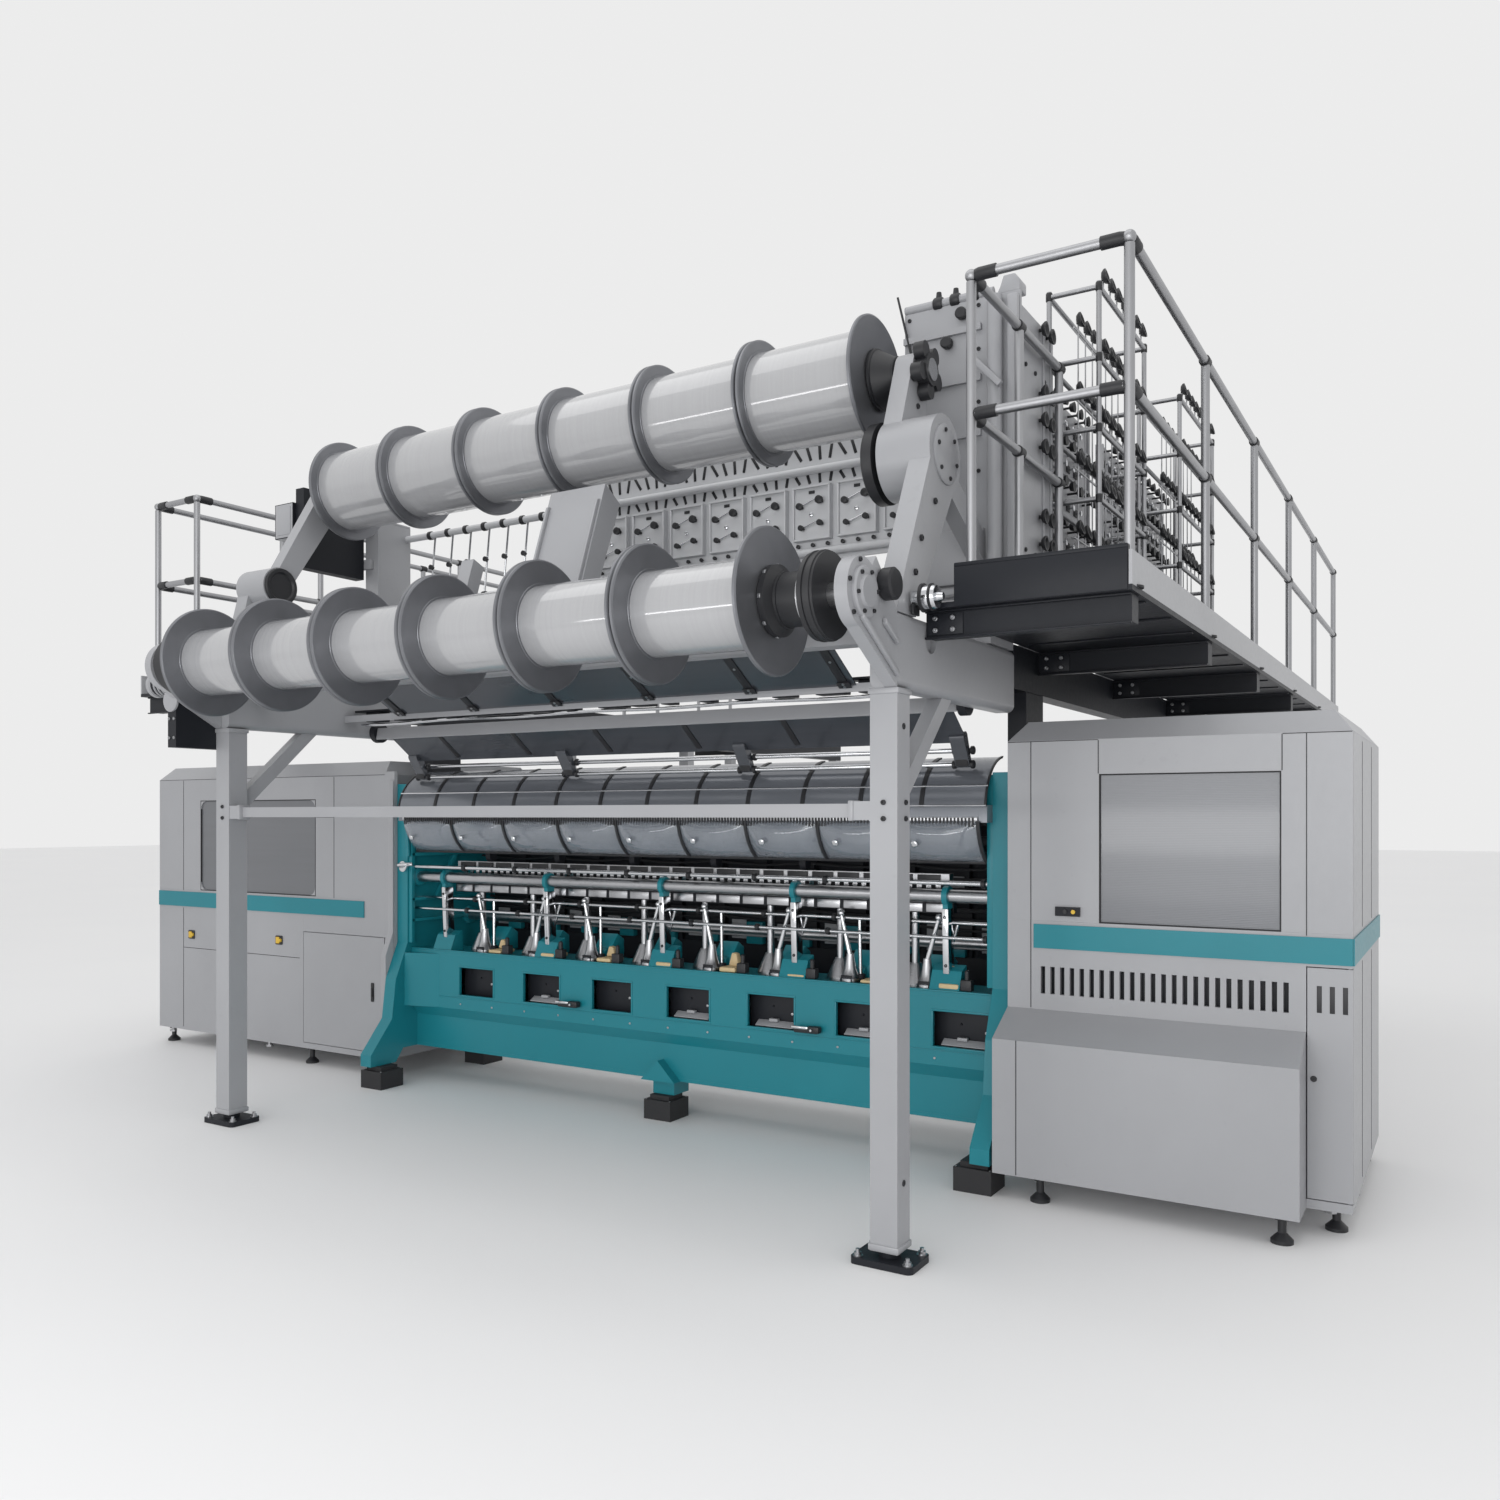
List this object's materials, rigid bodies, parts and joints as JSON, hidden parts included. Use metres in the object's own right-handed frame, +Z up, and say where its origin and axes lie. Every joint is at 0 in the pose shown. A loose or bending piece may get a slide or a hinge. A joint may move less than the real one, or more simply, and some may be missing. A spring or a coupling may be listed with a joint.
{
  "type": "raschel warp knitting machine",
  "caption": "Wide warp knitting machine with two sectional warp beams over a knitting zone, side cabinets and a raised gallery with a yarn creel.",
  "frame": {"origin": "on the floor under the middle machine pad", "axes": "+X to the machine's right, +Y to its back, +Z up"},
  "size_m": [7.8663, 7.7764, 4.08],
  "materials": {
    "teal_paint": "satin",
    "grey_paint": "satin",
    "dark_paint": "satin",
    "black_plastic": "matte",
    "yellow_plastic": "gloss",
    "rubber": "matte",
    "steel": "brushed",
    "shield_sheet": "gloss",
    "yarn": "satin",
    "frosted_glass": "frosted",
    "clear_plastic": "clear"
  },
  "bodies": {
    "machine": {"front_girder": "teal_paint", "side_frame_left": "teal_paint", "side_frame_right": "teal_paint", "frame_heads": "dark_paint", "machine_pads": "rubber", "rod_bosses": "steel", "roller_stands": "teal_paint", "front_posts": "grey_paint", "post_feet": "dark_paint", "post_braces": "grey_paint", "tie_bar": "grey_paint", "side_beams": "grey_paint", "beam_brackets": "grey_paint", "upper_arms": "grey_paint", "centre_support": "grey_paint", "let_off_drives": "dark_paint", "towers": "grey_paint", "guide_panel": "grey_paint", "right_cabinet": "grey_paint", "left_cabinet": "grey_paint", "cabinet_windows": "frosted_glass", "cabinet_bands": "teal_paint", "cabinet_feet": "black_plastic", "control_plate": "dark_paint", "main_motor": "dark_paint", "upper_shield": "shield_sheet", "cover_panels": "shield_sheet", "clear_shields": "clear_plastic", "gallery_beams": "dark_paint", "gallery_decks": "dark_paint", "toe_boards": "grey_paint", "guard_rails": "steel", "rear_posts": "grey_paint", "creel_racks": "steel", "guide_walls": "grey_paint", "yarn_guides": "black_plastic", "rear_guard": "dark_paint"},
    "lower_beam": {"lower_beam_shaft": "steel", "lower_beam_flanges": "dark_paint", "lower_beam_yarn": "yarn", "lower_beam_hubs": "black_plastic"},
    "upper_beam": {"upper_beam_shaft": "steel", "upper_beam_flanges": "dark_paint", "upper_beam_yarn": "yarn", "upper_beam_hubs": "black_plastic", "star_knob": "black_plastic"},
    "let_off_wheel": {"let_off_wheel": "black_plastic"},
    "lock_knob": {"lock_knob": "black_plastic"},
    "main_shaft": {"main_shaft": "steel"},
    "needle_bar": {"needle_bar": "dark_paint", "push_rods": "steel"},
    "guide_rocker": {"guide_rocker": "dark_paint"},
    "guide_bar": {"guide_bar": "steel"},
    "front_roller": {"front_roller": "steel"},
    "rear_roller": {"rear_roller": "steel"},
    "front_shield": {"front_shield": "shield_sheet"},
    "service_door": {"service_door": "grey_paint"},
    "left_door": {"left_door": "grey_paint"},
    "start_button": {"start_button": "black_plastic"},
    "stop_button": {"stop_button": "yellow_plastic"}
  },
  "joints": [
    {"name": "lower_beam_turn", "type": "hinge", "parent": "machine", "child": "lower_beam", "pos_m": [0, -1.64, 2.42], "axis": [1, 0, 0], "continuous": true},
    {"name": "upper_beam_turn", "type": "hinge", "parent": "machine", "child": "upper_beam", "pos_m": [0, -0.78, 3.48], "axis": [1, 0, 0], "continuous": true},
    {"name": "let_off_turn", "type": "hinge", "parent": "machine", "child": "let_off_wheel", "pos_m": [1.7, -0.88, 3.09], "axis": [1, 0, 0], "continuous": true},
    {"name": "lock_knob_turn", "type": "hinge", "parent": "machine", "child": "lock_knob", "pos_m": [2.001, -1.484, 2.471], "axis": [1, 0, 0], "range_deg": [0, 120]},
    {"name": "main_shaft_turn", "type": "hinge", "parent": "machine", "child": "main_shaft", "pos_m": [0, 0.08, 0.64], "axis": [1, 0, 0], "continuous": true},
    {"name": "needle_bar_lift", "type": "slide", "parent": "machine", "child": "needle_bar", "axis": [0, 0, 1], "range_m": [0, 0.018]},
    {"name": "guide_rocker_swing", "type": "hinge", "parent": "machine", "child": "guide_rocker", "pos_m": [0, 0.08, 1.76], "axis": [1, 0, 0], "range_deg": [-5, 5]},
    {"name": "guide_bar_shog", "type": "slide", "parent": "guide_rocker", "child": "guide_bar", "axis": [1, 0, 0], "range_m": [-0.02, 0.02]},
    {"name": "front_roller_turn", "type": "hinge", "parent": "machine", "child": "front_roller", "pos_m": [0, -0.02, 1.27], "axis": [1, 0, 0], "continuous": true},
    {"name": "rear_roller_turn", "type": "hinge", "parent": "machine", "child": "rear_roller", "pos_m": [0, 0.42, 1], "axis": [1, 0, 0], "continuous": true},
    {"name": "front_shield_lift", "type": "hinge", "parent": "machine", "child": "front_shield", "pos_m": [0, -0.36, 2.15], "axis": [1, 0, 0], "range_deg": [0, 25]},
    {"name": "service_door_swing", "type": "hinge", "parent": "machine", "child": "service_door", "pos_m": [3.378, -0.188, 0.6], "axis": [0, 0, 1], "range_deg": [0, 100]},
    {"name": "left_door_swing", "type": "hinge", "parent": "machine", "child": "left_door", "pos_m": [-2.1, -0.118, 0.5], "axis": [0, 0, 1], "range_deg": [0, 105]},
    {"name": "start_button_press", "type": "slide", "parent": "machine", "child": "start_button", "axis": [0, 1, 0], "range_m": [0, 0.004], "stiffness_N_per_m": 600},
    {"name": "stop_button_press", "type": "slide", "parent": "machine", "child": "stop_button", "axis": [0, 1, 0], "range_m": [0, 0.004], "stiffness_N_per_m": 600}
  ],
  "couplings": [
    {"joint": "let_off_turn", "follows": "upper_beam_turn", "ratio": 2.1},
    {"joint": "rear_roller_turn", "follows": "front_roller_turn", "ratio": -1}
  ]
}
